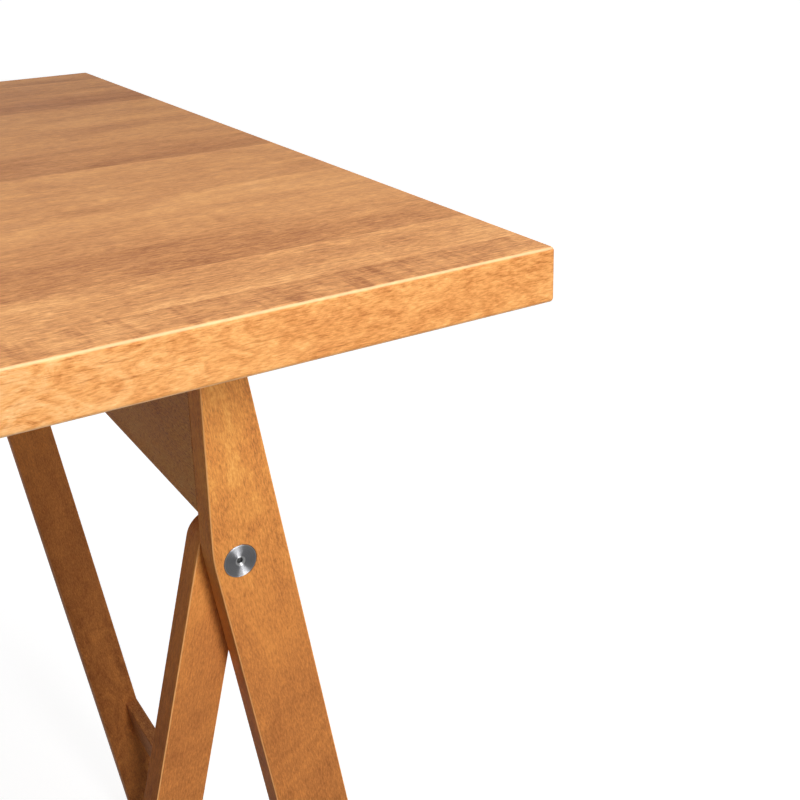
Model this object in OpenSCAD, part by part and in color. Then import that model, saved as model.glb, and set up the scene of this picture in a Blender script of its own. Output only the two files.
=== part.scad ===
// Trestle table: a loose wooden top on two folding trestles.
// Each trestle is a long-leg frame with a deep top rail, and a short-leg frame that
// swings on two steel pivots. Lengths are millimetres and angles are degrees.
// X runs along the tabletop, Y across it, Z up from the floor. The near side is -Y.

/* [Tabletop] */
// Length of the tabletop
top_l = 1500; // [1000:10:2200]
// Width of the tabletop
top_w = 645; // [540:5:900]
// Thickness of the tabletop
top_t = 25.5; // [20:0.5:36]
// Width of the trimmed stave along the near edge; the other staves share the rest
near_stave_w = 24.5; // [16:0.5:40]
// Radius of the tabletop's eased edges
top_edge_r = 2; // [0.5:0.25:5]
// Height of the tabletop's surface above the floor
table_h = 750; // [680:5:820]

/* [Trestle] */
// Distance from the tabletop's end to the pivot axis
pivot_inset = 133.5; // [110:0.5:300]
// Drop from the tabletop's underside to the pivot axis
pivot_drop = 112; // [106:0.5:150]
// Width of a trestle over the outer faces of its long legs
trestle_w = 536; // [420:1:720]
// Thickness of every leg board
leg_t = 15; // [13:0.5:24]
// Radius of the eased edges of the legs, rails and stretchers
arris_r = 0.9; // [0.3:0.1:1.5]

/* [Long legs] */
// Angle of the long legs to the vertical
long_lean = 9.35; // [8:0.05:13]
// Width of a long leg from its inner to its outer edge
long_leg_w = 35.7; // [34:0.1:44]
// Distance from the pivot axis to a long leg's outer edge
long_leg_out = 23.6; // [22.5:0.05:27]
// Radius of the bend between a long leg's upright and slanted inner edges
bend_r = 80; // [20:5:120]

/* [Short legs] */
// Angle of the short legs to the vertical when the trestle stands open
short_lean = 13.85; // [8:0.05:15]
// Width of a short leg
short_leg_w = 24.8; // [22:0.1:26.5]
// Distance by which a short leg's middle line lies inward of the pivot axis
short_leg_shift = 1.4; // [0:0.1:2]

/* [Rail and stretchers] */
// Thickness of the top rail
rail_t = 15; // [12:0.5:16]
// Depth of the top rail
rail_h = 90.5; // [70:0.5:96]
// Distance by which the long legs' top ends stand out past the rail's outer face
rail_lip = 3.4; // [0.5:0.05:6]
// Gap between the folded short legs and the stretcher that they nest behind
fold_gap = 1.5; // [0.5:0.1:3]
// Height of a lower stretcher's board
stretcher_h = 36.5; // [28:0.5:60]
// Height of the stretchers' upper edge above the floor
stretcher_z = 157; // [90:1:260]

/* [Pivots and stops] */
// Diameter of the pivots' steel discs
disc_d = 16; // [13:0.5:17]
// Thickness of the pivots' steel discs
disc_t = 2.5; // [1.5:0.1:3.5]
// Diameter of the pivot sleeve's barrel
barrel_d = 8; // [7:0.5:10]
// Diameter of the pivot screw's shank
shank_d = 5; // [3:0.5:5]
// Width across the flats of the discs' hexagon socket
socket_af = 2.5; // [2:0.5:4]
// Outer diameter of the washer between a long and a short leg
washer_d = 20; // [14:0.5:22]
// Thickness of that washer, which sets the gap between the legs
washer_t = 0.8; // [0.5:0.1:2]
// Diameter of the hidden stop pin
stop_pin_d = 5; // [3:0.5:6]
// Radius of the stop pin's groove about the pivot axis
stop_r = 17; // [15:0.5:20]
// Length of the stop pin inside the groove
stop_reach = 5; // [3:0.5:6]

/* [Dowels and glides] */
// Diameter of the dowels that join the rail to the long legs
rail_dowel_d = 8; // [6:0.5:9]
// Diameter of the dowels that join the stretchers to the legs
stretcher_dowel_d = 6; // [4:0.5:7]
// Diameter of the pegs that locate the tabletop on the rails
peg_d = 8; // [6:0.5:9]
// Distance between a rail's two locating pegs
peg_spacing = 216; // [120:2:320]
// Height of a locating peg above the rail
peg_up = 12; // [6:1:14]
// Depth to which a locating peg is set in the rail
peg_down = 18; // [10:1:24]
// Depth of every joining dowel in a leg
dowel_in_leg = 9; // [6:0.5:10]
// Depth of every joining dowel in a rail or stretcher
dowel_in_rail = 20; // [12:1:30]
// Diameter of a foot's glide
glide_d = 12; // [8:0.5:13]
// Thickness of a glide
glide_t = 2.5; // [1.5:0.5:5]
// Diameter of a glide's stem
glide_stem_d = 4; // [2.5:0.5:5]
// Length of a glide's stem
glide_stem_l = 10; // [6:1:16]

/* [Clearances] */
// Radial clearance of a running pivot and of a glued or pressed pin
fit_c = 0.05; // [0.02:0.01:0.1]
// Clearance beside moving pieces and round the locating pegs
free_c = 0.3; // [0.2:0.05:0.5]
// Spare depth behind the end of a pin or dowel
end_c = 0.5; // [0.2:0.1:0.8]
// Side play of a short leg on its pivot
pivot_play = 0.2; // [0.1:0.05:0.3]

/* [Hidden] */

// Sides of round pieces, steps of a bend, and flat steps round an eased edge
round_fn = 48;
arc_steps = 8;
edge_steps = 4;
arris_steps = 2;
// How far a cutting tool runs past the face that it cuts
cut = 1;

// Colours of the finished surfaces
top_colour = "#C98A4E";
leg_colour = "#C47C3C";
dowel_colour = "#D9B98C";
steel_colour = "#B8B9BB";
glide_colour = "#3A3A3A";

// Number of glued staves in the tabletop, and the width of each beyond the near one
stave_count = 16;
stave_w = (top_w - near_stave_w) / (stave_count - 1);
// The joints between the staves lie on whole steps of this size
joint_step = 0.1;

// Heights above the floor
under_z = table_h - top_t;
pivot_z = under_z - pivot_drop;
foot_z = glide_t;

// Places across the trestle, from the middle outward
long_leg_y = trestle_w / 2 - leg_t;
short_leg_y = long_leg_y - washer_t - leg_t;
trestle_x = top_l / 2 - pivot_inset;

// Distances from the pivot axis square to a leg, outward positive
long_leg_in = long_leg_out - long_leg_w;
short_leg_out = short_leg_w / 2 - short_leg_shift;
short_leg_in = short_leg_out - short_leg_w;

// Distance from the pivot axis to the rail's inward face: the rail follows the legs' tops
rail_face = rail_t + rail_lip - slant_x(long_lean, long_leg_out, under_z);

// Place across the tabletop of a stave's far side, counted from the near stave
function joint_y(i) =
    joint_step * round((near_stave_w - top_w / 2 + (i - 1) * stave_w) / joint_step);

// Angle between the long and the short legs of an open trestle
fold_angle = long_lean + short_lean;

// Thickness of a stretcher: it fills the long leg's width beside a folded short leg
stretcher_t = long_leg_out - short_leg_out - fold_gap;

// Places of the rail's three dowels and of a stretcher's two, along their boards
rail_dowel_x = -rail_face + rail_t / 2;
rail_dowel_z = [for (share = [0.2, 0.5, 0.8]) under_z - rail_h * share];
stretcher_dowel_s = [for (share = [0.25, 0.75]) stretcher_h * share];

// Pivot parts: barrel length between the two discs, and bores through the wood
barrel_l = 2 * leg_t + washer_t + pivot_play - disc_t;
screw_l = barrel_l - disc_t - end_c;
socket_depth = disc_t * 0.7;
socket_r = socket_af / sqrt(3);
pit_r = disc_d * 0.14;
disc_chamfer = disc_d * 0.02;

// X of a slanted line that passes at distance off from the pivot, at height z
function slant_x(lean, off, z) = (off - (z - pivot_z) * sin(lean)) / cos(lean);

// Distance along a leg from the pivot to height z, on the line at distance off
function slant_s(lean, off, z) = (pivot_z - z + off * sin(lean)) / cos(lean);

// Outline of a rectangle with eased corners of a few flat steps, from its lower left corner
function eased_rect(w, h, r, steps) = [
    for (corner = [[w - r, r, -90], [w - r, h - r, 0], [r, h - r, 90], [r, r, 180]])
        for (i = [0:steps])
            let (a = corner[2] + 90 * i / steps)
            [corner[0], corner[1]] + r * [cos(a), sin(a)]
];

// Outline of a long leg in X and Z: upright above the bend, slanted below it
function long_leg_outline(top_z) =
    let (bend_x = -rail_face + bend_r)
    let (bend_z = pivot_z + (bend_r + long_leg_in - bend_x * cos(long_lean)) / sin(long_lean))
    concat(
        [[-rail_face, top_z]],
        [for (i = [0:arc_steps])
            let (turn = long_lean * i / arc_steps)
            [bend_x, bend_z] - bend_r * [cos(turn), sin(turn)]],
        [[slant_x(long_lean, long_leg_in, foot_z), foot_z],
         [slant_x(long_lean, long_leg_out, foot_z), foot_z],
         [slant_x(long_lean, long_leg_out, top_z), top_z]]
    );

// Outline of a short leg in X and Z: a round head about the pivot's height
function short_leg_outline() =
    let (head = [-short_leg_shift * cos(short_lean), pivot_z + short_leg_shift * sin(short_lean)])
    concat(
        [for (i = [0:2 * arc_steps])
            let (turn = -short_lean + 180 * i / (2 * arc_steps))
            head + short_leg_w / 2 * [cos(turn), sin(turn)]],
        [[slant_x(-short_lean, short_leg_in, foot_z), foot_z],
         [slant_x(-short_lean, short_leg_out, foot_z), foot_z]]
    );

// Point at radius r about the pivot, at an angle from straight down towards the short leg
function swing(r, turn) = [-r * sin(turn), pivot_z - r * cos(turn)];

// Outline of the stop pin's groove in X and Z: two arcs about the pivot with round ends
function groove_outline() =
    let (half = stop_pin_d / 2 + free_c)
    let (steps = 2 * arc_steps)
    let (folded = -long_lean)
    concat(
        [for (i = [0:steps]) swing(stop_r + half, folded + fold_angle * i / steps)],
        [for (i = [1:steps - 1])
            let (a = short_lean + 180 * i / steps)
            swing(stop_r, short_lean) - half * [sin(a), cos(a)]],
        [for (i = [steps:-1:0]) swing(stop_r - half, folded + fold_angle * i / steps)],
        [for (i = [1:steps - 1])
            let (a = folded + 180 * i / steps)
            swing(stop_r, folded) + half * [sin(a), cos(a)]]
    );

// Puts a trestle's piece at the right (1) or the left (-1) end of the table
module at_end(side) {
    if (side > 0) translate([trestle_x, 0, 0]) children();
    else mirror([1, 0, 0]) translate([trestle_x, 0, 0]) children();
}

// Puts a piece at the far side, or mirrors it to the near side
module at_side(far) {
    if (far) children();
    else mirror([0, 1, 0]) children();
}

// Both sides at once
module both_sides() {
    children();
    mirror([0, 1, 0]) children();
}

// Extrudes an outline in X and Z along Y, from y to y + t
module slab(y, t) {
    translate([0, y + t, 0]) rotate([90, 0, 0]) linear_extrude(t) children();
}

// A board of thickness t on a convex outline, with its long edges eased
module eased_board(y, t, points) {
    bevel = arris_r * (1 - cos(45));
    hull() {
        slab(y + arris_r, t - 2 * arris_r) polygon(points);
        slab(y + bevel, t - 2 * bevel) offset(delta = -bevel) polygon(points);
        slab(y, t) offset(delta = -arris_r) polygon(points);
    }
}

// A round pin along +Y from y, at x and z
module pin_y(x, y, z, d, l) {
    translate([x, y, z]) rotate([-90, 0, 0]) cylinder(d = d, h = l, $fn = round_fn);
}

// A round pin along +Z from z
module pin_z(x, y, z, d, l) {
    translate([x, y, z]) cylinder(d = d, h = l, $fn = round_fn);
}

// Puts a child at distance s down a leg from the pivot, at distance off from its axis
module on_leg(lean, off, s) {
    translate([0, 0, pivot_z]) rotate([0, -lean, 0]) translate([off, 0, -s]) children();
}

// TABLETOP

// The whole slab with every outside edge rounded: its outlines along X, Y and Z, intersected
module rounded_slab() {
    translate([-top_l / 2, -top_w / 2, under_z]) intersection() {
        rotate([90, 0, 90]) linear_extrude(top_l)
            polygon(eased_rect(top_w, top_t, top_edge_r, edge_steps));
        slab(0, top_w) polygon(eased_rect(top_l, top_t, top_edge_r, edge_steps));
        linear_extrude(top_t) polygon(eased_rect(top_l, top_w, top_edge_r, edge_steps));
    }
}

// Blind holes under the tabletop for the locating pegs
module peg_sockets() {
    for (side = [-1, 1])
        at_end(side) both_sides()
            pin_z(rail_dowel_x, peg_spacing / 2, under_z - cut, peg_d + 2 * free_c,
                  peg_up + end_c + cut);
}

// One glued stave of the tabletop, counted from the near side
module top_stave(i) {
    near_y = i == 1 ? -top_w / 2 : joint_y(i - 1);
    color(top_colour) difference() {
        intersection() {
            rounded_slab();
            translate([-top_l, near_y, under_z - cut])
                cube([2 * top_l, joint_y(i) - near_y, top_t + 2 * cut]);
        }
        peg_sockets();
    }
}

// LONG-LEG FRAME

// Dowel stretches that cross a joint at y: into a leg outward, into a board inward
module joint_dowel(x, y, z, d, c) {
    pin_y(x, y - dowel_in_rail - (c > 0 ? end_c : 0), z, d + 2 * c,
          dowel_in_rail + dowel_in_leg + (c > 0 ? 2 * end_c : 0));
}

// Dowels of the top rail at the far side, or their holes when c is more than 0
module rail_joint(c) {
    for (z = rail_dowel_z)
        joint_dowel(rail_dowel_x, long_leg_y, z, rail_dowel_d, c);
}

// Dowels of a stretcher at the far side, or their holes when c is more than 0
module stretcher_joint(lean, edge, y, c) {
    s_top = slant_s(lean, edge, stretcher_z);
    inward = edge > 0 ? -1 : 1;
    for (s = stretcher_dowel_s)
        on_leg(lean, edge + inward * stretcher_t / 2, s_top + s)
            joint_dowel(0, y, 0, stretcher_dowel_d, c);
}

// A lower stretcher between the leg faces at -y and y, flush with the legs' edge
module stretcher_board(lean, edge, y) {
    s_top = slant_s(lean, edge, stretcher_z);
    on_leg(lean, edge > 0 ? edge - stretcher_t : edge, s_top + stretcher_h)
        slab(-y, 2 * y) polygon(eased_rect(stretcher_t, stretcher_h, arris_r, arris_steps));
}

// The hole for a glide's stem, at the foot of a leg whose middle is at distance off
module glide_hole(lean, off, y) {
    x = slant_x(lean, off, foot_z);
    pin_z(x, y, foot_z - cut, glide_stem_d + 2 * fit_c, glide_stem_l + cut + end_c);
}

// Curved groove of the stop pin in a long leg's inner face. Its ends are where the open
// and the folded poses stop, and the short leg covers it in both.
module stop_groove() {
    slab(long_leg_y - cut, stop_reach + end_c + cut) polygon(groove_outline());
}

// Long leg at the far side
module long_leg() {
    color(leg_colour) difference() {
        intersection() {
            eased_board(long_leg_y, leg_t, long_leg_outline(under_z + 2 * arris_r));
            translate([-top_l, 0, 0]) cube([2 * top_l, top_w, under_z]);
        }
        rail_joint(fit_c);
        stretcher_joint(long_lean, long_leg_out, long_leg_y, fit_c);
        pin_y(0, long_leg_y - cut, pivot_z, barrel_d + 2 * fit_c, leg_t + 2 * cut);
        pin_y(0, trestle_w / 2 - disc_t, pivot_z, disc_d + free_c, disc_t + cut);
        stop_groove();
        glide_hole(long_lean, (long_leg_in + long_leg_out) / 2, long_leg_y + leg_t / 2);
    }
}

// Top rail between the long legs
module top_rail() {
    color(leg_colour) difference() {
        translate([-rail_face, 0, under_z - rail_h])
            slab(-long_leg_y, 2 * long_leg_y)
                polygon(eased_rect(rail_t, rail_h, arris_r, arris_steps));
        both_sides() rail_joint(fit_c);
        both_sides()
            pin_z(rail_dowel_x, peg_spacing / 2, under_z - peg_down - end_c,
                  peg_d + 2 * fit_c, peg_down + end_c + cut);
    }
}

// Lower stretcher between the long legs
module long_stretcher() {
    color(leg_colour) difference() {
        stretcher_board(long_lean, long_leg_out, long_leg_y);
        both_sides() stretcher_joint(long_lean, long_leg_out, long_leg_y, fit_c);
    }
}

// Six dowels between the top rail and the long legs
module rail_dowels() {
    color(dowel_colour) both_sides() rail_joint(0);
}

// Four dowels between the lower stretcher and the long legs
module long_stretcher_dowels() {
    color(dowel_colour) both_sides() stretcher_joint(long_lean, long_leg_out, long_leg_y, 0);
}

// Two pegs that stand out of the rail and locate the tabletop
module locating_pegs() {
    color(dowel_colour) both_sides()
        pin_z(rail_dowel_x, peg_spacing / 2, under_z - peg_down, peg_d, peg_down + peg_up);
}

// Profile of a pivot disc with its centre pit, from the axis outward and the face at 0
module disc_profile() {
    polygon([
        [0, -disc_t], [disc_d / 2, -disc_t], [disc_d / 2, -disc_chamfer],
        [disc_d / 2 - disc_chamfer, 0], [pit_r, 0], [socket_r, socket_r - pit_r], [0, socket_r - pit_r]
    ]);
}

// A steel disc with a hexagon socket, its face turned to +Y at height y
module pivot_disc(y) {
    translate([0, y, pivot_z]) rotate([-90, 0, 0]) difference() {
        rotate_extrude($fn = 2 * round_fn) disc_profile();
        translate([0, 0, -socket_depth]) cylinder(r = socket_r, h = socket_depth + cut, $fn = 6);
    }
}

// Two pivot sleeves: a disc flush in the long leg's outer face and a hollow barrel
module pivot_sleeves() {
    y = trestle_w / 2;
    color(steel_colour) both_sides() union() {
        pivot_disc(y);
        difference() {
            pin_y(0, y - barrel_l, pivot_z, barrel_d, barrel_l - disc_t);
            pin_y(0, y - barrel_l - cut, pivot_z, shank_d + 2 * fit_c,
                  barrel_l + cut - disc_t - end_c / 2);
        }
    }
}

// Two pivot screws, each with its disc in the short leg's inner face
module pivot_screws() {
    y = trestle_w / 2 - barrel_l;
    color(steel_colour) both_sides() union() {
        mirror([0, 1, 0]) pivot_disc(-y + disc_t);
        pin_y(0, y, pivot_z, shank_d, screw_l);
    }
}

// Two washers that keep the legs apart
module pivot_washers() {
    y = long_leg_y - washer_t;
    color(glide_colour) both_sides() difference() {
        pin_y(0, y, pivot_z, washer_d, washer_t);
        pin_y(0, y - cut, pivot_z, barrel_d + 2 * fit_c, washer_t + 2 * cut);
    }
}

// A glide with its stem, at the far side
module glide_piece(lean, off, y) {
    x = slant_x(lean, off, foot_z);
    pin_z(x, y, 0, glide_d, glide_t);
    pin_z(x, y, 0, glide_stem_d, glide_t + glide_stem_l);
}

// Two glides under the long legs
module long_glides() {
    color(glide_colour) both_sides()
        glide_piece(long_lean, (long_leg_in + long_leg_out) / 2, long_leg_y + leg_t / 2);
}

// SHORT-LEG FRAME

// A stop pin from depth down in the short leg's outer face to up above it
module stop_pin(d, down, up) {
    place = swing(stop_r, short_lean);
    pin_y(place[0], short_leg_y + leg_t - down, place[1], d, down + up);
}

// Short leg at the far side
module short_leg() {
    color(leg_colour) difference() {
        eased_board(short_leg_y, leg_t, short_leg_outline());
        stretcher_joint(-short_lean, short_leg_in, short_leg_y, fit_c);
        pin_y(0, short_leg_y - cut, pivot_z, barrel_d + 2 * fit_c, leg_t + 2 * cut);
        pin_y(0, short_leg_y - cut, pivot_z, disc_d + 2 * free_c, disc_t + cut);
        stop_pin(stop_pin_d + 2 * fit_c, dowel_in_leg + end_c, cut);
        glide_hole(-short_lean, (short_leg_in + short_leg_out) / 2, short_leg_y + leg_t / 2);
    }
}

// Two stop pins set in the short legs, which end in the long legs' grooves
module stop_pins() {
    color(steel_colour) both_sides() stop_pin(stop_pin_d, dowel_in_leg, washer_t + stop_reach);
}

// Lower stretcher between the short legs
module short_stretcher() {
    color(leg_colour) difference() {
        stretcher_board(-short_lean, short_leg_in, short_leg_y);
        both_sides() stretcher_joint(-short_lean, short_leg_in, short_leg_y, fit_c);
    }
}

// Four dowels between the lower stretcher and the short legs
module short_stretcher_dowels() {
    color(dowel_colour) both_sides() stretcher_joint(-short_lean, short_leg_in, short_leg_y, 0);
}

// Two glides under the short legs
module short_glides() {
    color(glide_colour) both_sides()
        glide_piece(-short_lean, (short_leg_in + short_leg_out) / 2, short_leg_y + leg_t / 2);
}

top_stave(1);  // top_stave_1
top_stave(2);  // top_stave_2
top_stave(3);  // top_stave_3
top_stave(4);  // top_stave_4
top_stave(5);  // top_stave_5
top_stave(6);  // top_stave_6
top_stave(7);  // top_stave_7
top_stave(8);  // top_stave_8
top_stave(9);  // top_stave_9
top_stave(10);  // top_stave_10
top_stave(11);  // top_stave_11
top_stave(12);  // top_stave_12
top_stave(13);  // top_stave_13
top_stave(14);  // top_stave_14
top_stave(15);  // top_stave_15
top_stave(16);  // top_stave_16
at_end(1) at_side(false) long_leg();  // right_long_leg_near
at_end(1) at_side(true) long_leg();  // right_long_leg_far
at_end(1) top_rail();  // right_top_rail
at_end(1) long_stretcher();  // right_long_stretcher
at_end(1) rail_dowels();  // right_rail_dowels
at_end(1) long_stretcher_dowels();  // right_long_stretcher_dowels
at_end(1) locating_pegs();  // right_locating_pegs
at_end(1) pivot_sleeves();  // right_pivot_sleeves
at_end(1) pivot_screws();  // right_pivot_screws
at_end(1) pivot_washers();  // right_pivot_washers
at_end(1) long_glides();  // right_long_glides
at_end(1) at_side(false) short_leg();  // right_short_leg_near
at_end(1) at_side(true) short_leg();  // right_short_leg_far
at_end(1) stop_pins();  // right_stop_pins
at_end(1) short_stretcher();  // right_short_stretcher
at_end(1) short_stretcher_dowels();  // right_short_stretcher_dowels
at_end(1) short_glides();  // right_short_glides
at_end(-1) at_side(false) long_leg();  // left_long_leg_near
at_end(-1) at_side(true) long_leg();  // left_long_leg_far
at_end(-1) top_rail();  // left_top_rail
at_end(-1) long_stretcher();  // left_long_stretcher
at_end(-1) rail_dowels();  // left_rail_dowels
at_end(-1) long_stretcher_dowels();  // left_long_stretcher_dowels
at_end(-1) locating_pegs();  // left_locating_pegs
at_end(-1) pivot_sleeves();  // left_pivot_sleeves
at_end(-1) pivot_screws();  // left_pivot_screws
at_end(-1) pivot_washers();  // left_pivot_washers
at_end(-1) long_glides();  // left_long_glides
at_end(-1) at_side(false) short_leg();  // left_short_leg_near
at_end(-1) at_side(true) short_leg();  // left_short_leg_far
at_end(-1) stop_pins();  // left_stop_pins
at_end(-1) short_stretcher();  // left_short_stretcher
at_end(-1) short_stretcher_dowels();  // left_short_stretcher_dowels
at_end(-1) short_glides();  // left_short_glides
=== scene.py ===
"""Trestle table: surfaces, finishes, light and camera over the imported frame.

The frame is in metres: X runs along the tabletop, Y across it and away from the near side,
Z up from the floor. Every piece stays where its node is.
"""
import logging
import math
from dataclasses import dataclass
from enum import Enum
from typing import Dict, Iterable, List, Sequence, Tuple, Union

import bpy
import numpy as np
from mathutils import Matrix

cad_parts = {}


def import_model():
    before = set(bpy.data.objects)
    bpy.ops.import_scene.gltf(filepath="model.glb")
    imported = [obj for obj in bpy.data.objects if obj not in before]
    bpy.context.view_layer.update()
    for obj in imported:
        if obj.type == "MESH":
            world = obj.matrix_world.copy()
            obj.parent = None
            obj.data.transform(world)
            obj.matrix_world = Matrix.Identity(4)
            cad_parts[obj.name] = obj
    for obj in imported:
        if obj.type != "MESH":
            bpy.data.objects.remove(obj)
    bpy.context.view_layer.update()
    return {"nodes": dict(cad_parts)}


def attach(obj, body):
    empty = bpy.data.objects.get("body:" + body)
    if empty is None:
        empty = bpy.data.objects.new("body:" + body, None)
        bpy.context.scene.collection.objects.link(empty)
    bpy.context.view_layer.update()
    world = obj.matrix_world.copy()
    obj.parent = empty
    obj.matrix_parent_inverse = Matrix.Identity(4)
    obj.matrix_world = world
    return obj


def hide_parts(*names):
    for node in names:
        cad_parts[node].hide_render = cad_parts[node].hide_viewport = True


LOG = logging.getLogger("trestle_table")

Pair = Tuple[float, float]
Triple = Tuple[float, float, float]
Colour = Triple
Span = Tuple[float, ...]
Stops = Sequence[Tuple[float, Colour]]
Rows = Sequence[Pair]
Socket = bpy.types.NodeSocket
Feeds = Iterable[Tuple[Union[int, str], object]]

MM = 0.001

# Leans of the legs in degrees, and the right trestle's pivot axis
LONG_LEAN = 9.35
SHORT_LEAN = 13.85
PIVOT_X = 616.5 * MM
PIVOT_Z = 612.5 * MM

# The tabletop, its staves, and the first glue line's place across it
TOP_LENGTH = 1500.0 * MM
TOP_WIDTH = 645.0 * MM
TOP_HEIGHT = 750.0 * MM
STAVES = 16
NEAR_STAVE = 24.5 * MM
STAVE = (TOP_WIDTH - NEAR_STAVE) / (STAVES - 1)
FIRST_JOINT = NEAR_STAVE - TOP_WIDTH / 2

# Turned parts as depths and radii in millimetres. The first two rows are a hexagon socket
DISC_ROWS = ((1.75, 1.25), (0.80, 1.25), (0.78, 1.45), (0.10, 2.10), (0.0, 2.24), (0.0, 2.40),
             (0.04, 2.55), (0.04, 7.40), (0.0, 7.50), (0.0, 7.66), (0.10, 7.90), (0.30, 8.0),
             (2.50, 8.0))
SLEEVE_ROWS = DISC_ROWS + ((2.50, 4.0), (28.5, 4.0), (28.5, 2.55), (2.75, 2.55))
SCREW_ROWS = DISC_ROWS + ((2.50, 2.5), (27.7, 2.5), (28.0, 2.2))
SOCKET_ROWS = 2


class Grain(Enum):
    """Way the fibres of a piece run, as the turn that lays them along the first axis."""

    ACROSS = (0.0, 0.0, -90.0)
    RIGHT_LONG_LEG = (0.0, LONG_LEAN - 90.0, 0.0)
    LEFT_LONG_LEG = (0.0, -LONG_LEAN - 90.0, 0.0)
    RIGHT_SHORT_LEG = (0.0, -SHORT_LEAN - 90.0, 0.0)
    LEFT_SHORT_LEG = (0.0, SHORT_LEAN - 90.0, 0.0)


@dataclass(frozen=True)
class Pattern:
    """Noise with a scale per metre on each axis."""

    scale: Triple
    detail: float = 2.0
    rough: float = 0.5
    wander: float = 0.0


class Graph:
    """Node tree of a material or a world, with short calls for the nodes in use."""

    def __init__(self, owner: Union[bpy.types.Material, bpy.types.World]) -> None:
        """Takes up a new material or world with the shader that it comes with."""
        owner.use_nodes = True
        self.owner = owner
        self.tree = owner.node_tree
        self.shader = next(n for n in self.tree.nodes
                           if n.type in ("BSDF_PRINCIPLED", "BACKGROUND"))

    def feed(self, socket: Socket, value: object) -> None:
        """Links an input to an output socket, or sets it to a number, vector or colour."""
        if isinstance(value, bpy.types.NodeSocket):
            self.tree.links.new(value, socket)
        elif isinstance(value, tuple) and socket.type == "RGBA":
            socket.default_value = (*value, 1.0)
        else:
            socket.default_value = value

    def node(self, kind: str, feeds: Feeds = (), **settings: object) -> bpy.types.Node:
        """Adds a node.

        Args:
            kind: the node's type in Blender.
            feeds: inputs by number or name, and what each one gets.
            settings: values of the node's own properties.

        Returns:
            The new node.
        """
        made = self.tree.nodes.new(kind)
        for key, value in settings.items():
            setattr(made, key, value)
        for key, value in feeds:
            self.feed(made.inputs[key], value)
        return made

    def place(self) -> Socket:
        """Returns the object coordinates, which are the frame's own metres."""
        return self.node("ShaderNodeTexCoord").outputs["Object"]

    def turned(self, vector: Socket, degrees: Triple) -> Socket:
        """Returns the vector turned by three angles in degrees."""
        angles = tuple(math.radians(a) for a in degrees)
        return self.node("ShaderNodeMapping",
                         (("Vector", vector), ("Rotation", angles))).outputs["Vector"]

    def vectors(self, kind: str, a: Socket, b: object) -> Socket:
        """Returns the result of a Vector Math node's operation on two vectors."""
        return self.node("ShaderNodeVectorMath", ((0, a), (1, b)),
                         operation=kind).outputs["Vector"]

    def parts(self, vector: Socket) -> Tuple[Socket, Socket, Socket]:
        """Returns the three parts of a vector."""
        made = self.node("ShaderNodeSeparateXYZ", ((0, vector),))
        return made.outputs[0], made.outputs[1], made.outputs[2]

    def joined(self, *parts: object) -> Socket:
        """Returns the vector of three parts."""
        return self.node("ShaderNodeCombineXYZ", enumerate(parts)).outputs[0]

    def calc(self, kind: str, *values: object) -> Socket:
        """Returns the result of a Math node's operation on up to three values."""
        return self.node("ShaderNodeMath", enumerate(values), operation=kind).outputs[0]

    def minus(self, a: object, b: object) -> Socket:
        """Returns a - b."""
        return self.calc("SUBTRACT", a, b)

    def times(self, a: object, b: object) -> Socket:
        """Returns a times b."""
        return self.calc("MULTIPLY", a, b)

    def times_plus(self, a: object, b: object, c: object) -> Socket:
        """Returns a times b, plus c."""
        return self.calc("MULTIPLY_ADD", a, b, c)

    def distance(self, a: Socket, b: Socket) -> Socket:
        """Returns the square root of a squared plus b squared."""
        return self.calc("SQRT", self.times_plus(a, a, self.times(b, b)))

    def layered(self, level: object, layers: Sequence[Tuple[Socket, object]]) -> Socket:
        """Returns a level with noises added by their gains, each about its middle of 0.5."""
        for part, gain in layers:
            level = self.times_plus(self.minus(part, 0.5), gain, level)
        return level

    def span(self, value: Socket, low: float, high: float, to_low: float = 0.0,
             to_high: float = 1.0) -> Socket:
        """Maps a span of values smoothly onto another one and holds it there.

        Args:
            value: the value to map.
            low: start of its span.
            high: end of its span.
            to_low: result at the start.
            to_high: result at the end.

        Returns:
            The mapped value.
        """
        return self.node("ShaderNodeMapRange", enumerate((value, low, high, to_low, to_high)),
                         interpolation_type="SMOOTHSTEP").outputs["Result"]

    def noise(self, vector: Socket, pattern: Pattern) -> Socket:
        """Returns Perlin noise at a vector, as the pattern describes it."""
        return self.node("ShaderNodeTexNoise", (
            ("Vector", self.vectors("MULTIPLY", vector, pattern.scale)), ("Scale", 1.0),
            ("Detail", pattern.detail), ("Roughness", pattern.rough),
            ("Distortion", pattern.wander))).outputs["Fac"]

    def ramp(self, value: Socket, stops: Stops, steps: bool = False) -> Socket:
        """Returns the colour of a ramp at a value, blended or in steps."""
        made = self.node("ShaderNodeValToRGB", (("Fac", value),))
        made.color_ramp.interpolation = "CONSTANT" if steps else "LINEAR"
        points = made.color_ramp.elements
        while len(points) < len(stops):
            points.new(0.5)
        for point, (spot, colour) in zip(points, stops):
            point.position = spot
            point.color = (*colour, 1.0)
        return made.outputs["Color"]

    def blend(self, share: Socket, a: object, b: object) -> Socket:
        """Returns colour a with a share of colour b in it."""
        return self.node("ShaderNodeMix", (("Factor", share), (6, a), (7, b)),
                         data_type="RGBA").outputs[2]

    def eased(self, axis: int, start: float = 0.2, full: float = 0.6) -> Socket:
        """Returns 1 on the eased edges between faces square to an axis and the rest.

        Args:
            axis: 0, 1 or 2 for X, Y or Z.
            start: how far a face leans towards that axis where the edge starts.
            full: how far it leans where the edge is full.
        """
        normal = self.node("ShaderNodeTexCoord").outputs["Normal"]
        lean = self.calc("ABSOLUTE", self.parts(normal)[axis])
        return self.times(self.span(lean, start, full), self.span(lean, 0.98, 0.80))

    def relief(self, height: Socket, depth: float) -> None:
        """Gives the shader a bump, with the depth of a height of 1 in metres."""
        made = self.node("ShaderNodeBump", (("Strength", 1.0), ("Distance", depth),
                                            ("Height", height)))
        self.set(Normal=made.outputs["Normal"])

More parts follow.
